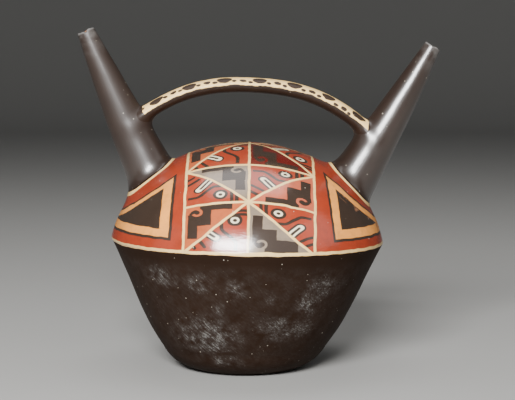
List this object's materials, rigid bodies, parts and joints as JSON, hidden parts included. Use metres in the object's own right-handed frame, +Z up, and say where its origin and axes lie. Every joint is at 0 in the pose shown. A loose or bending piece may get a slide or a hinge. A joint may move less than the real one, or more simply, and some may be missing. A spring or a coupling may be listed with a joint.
{
  "type": "double-spout vessel",
  "caption": "Hollow fired-clay vessel with a keeled round body, two tapering spouts leaning apart and a strap bridge between them to carry it by.",
  "frame": {"origin": "centre of the flat base, on the surface that the vessel stands on", "axes": "+X along the line from the left spout to the right spout, +Y from the painted front to the back, +Z up"},
  "size_m": [0.2228, 0.168, 0.2098],
  "materials": {
    "burnished_slip": "burnished dark brown slip, painted dome and strap"
  },
  "bodies": {
    "root": {"vessel": "burnished_slip"}
  },
  "joints": []
}
